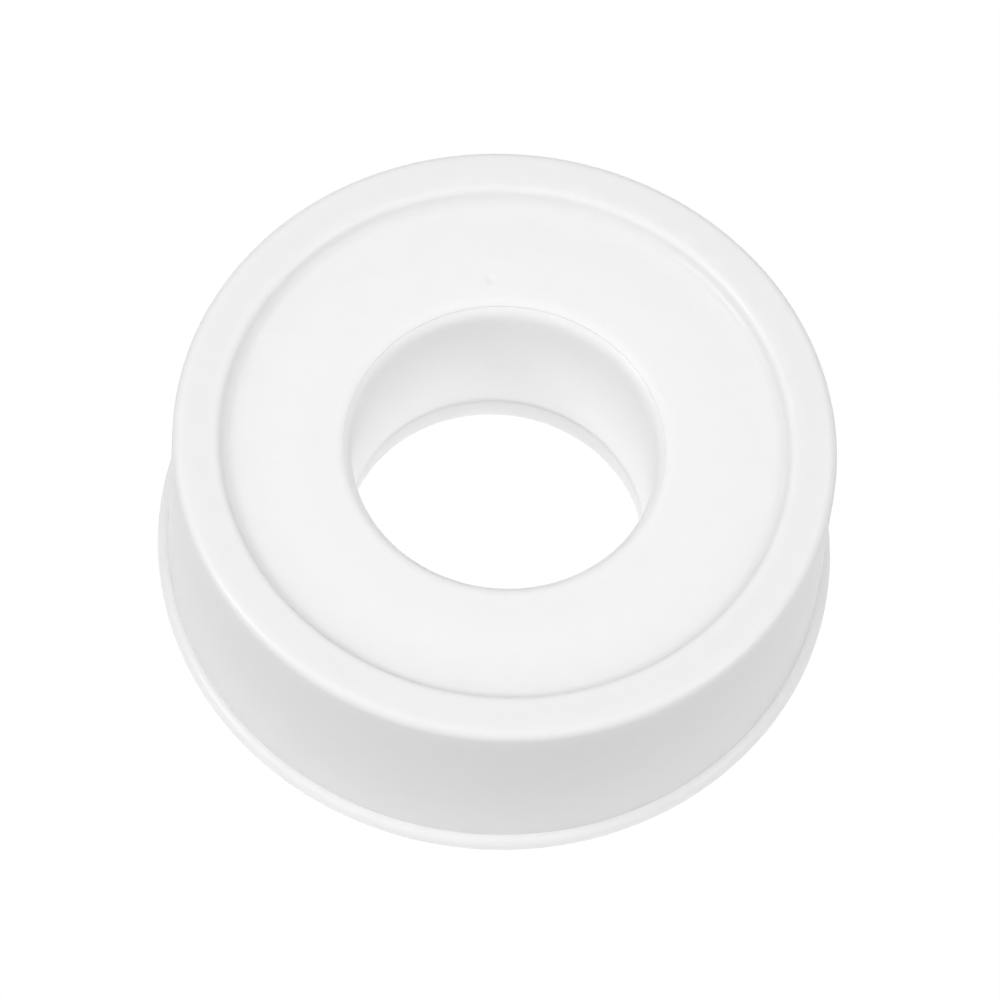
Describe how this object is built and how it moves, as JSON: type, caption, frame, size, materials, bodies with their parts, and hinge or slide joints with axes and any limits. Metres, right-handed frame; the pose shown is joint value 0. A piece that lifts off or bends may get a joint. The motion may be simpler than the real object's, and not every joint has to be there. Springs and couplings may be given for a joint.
{
  "type": "thread seal tape roll",
  "caption": "Round roll of thread seal tape: a moulded cover with a raised rim, a lip and a central hole plugs onto a flanged spool that holds the wound tape.",
  "frame": {"origin": "on the axis of the roll, in the plane that it stands on", "axes": "+Z along the axis of the roll, from the open end with the spool's flange up to the cover's rim"},
  "size_m": [0.0468, 0.0468, 0.016],
  "materials": {
    "cover_plastic": "moulded white polypropylene, satin",
    "spool_plastic": "moulded white polypropylene, satin",
    "tape_film": "white PTFE film, soft satin"
  },
  "bodies": {
    "spool": {"spool": "spool_plastic"},
    "cover": {"cover": "cover_plastic"},
    "tape": {"tape_winding": "tape_film", "tape_free_end": "tape_film"}
  },
  "joints": [
    {"name": "cover_pull", "type": "slide", "parent": "spool", "child": "cover", "axis": [0, 0, 1], "range_m": [0, 0.03]},
    {"name": "tape_turn", "type": "hinge", "parent": "spool", "child": "tape", "pos_m": [0, 0, 0], "axis": [0, 0, 1], "continuous": true}
  ]
}
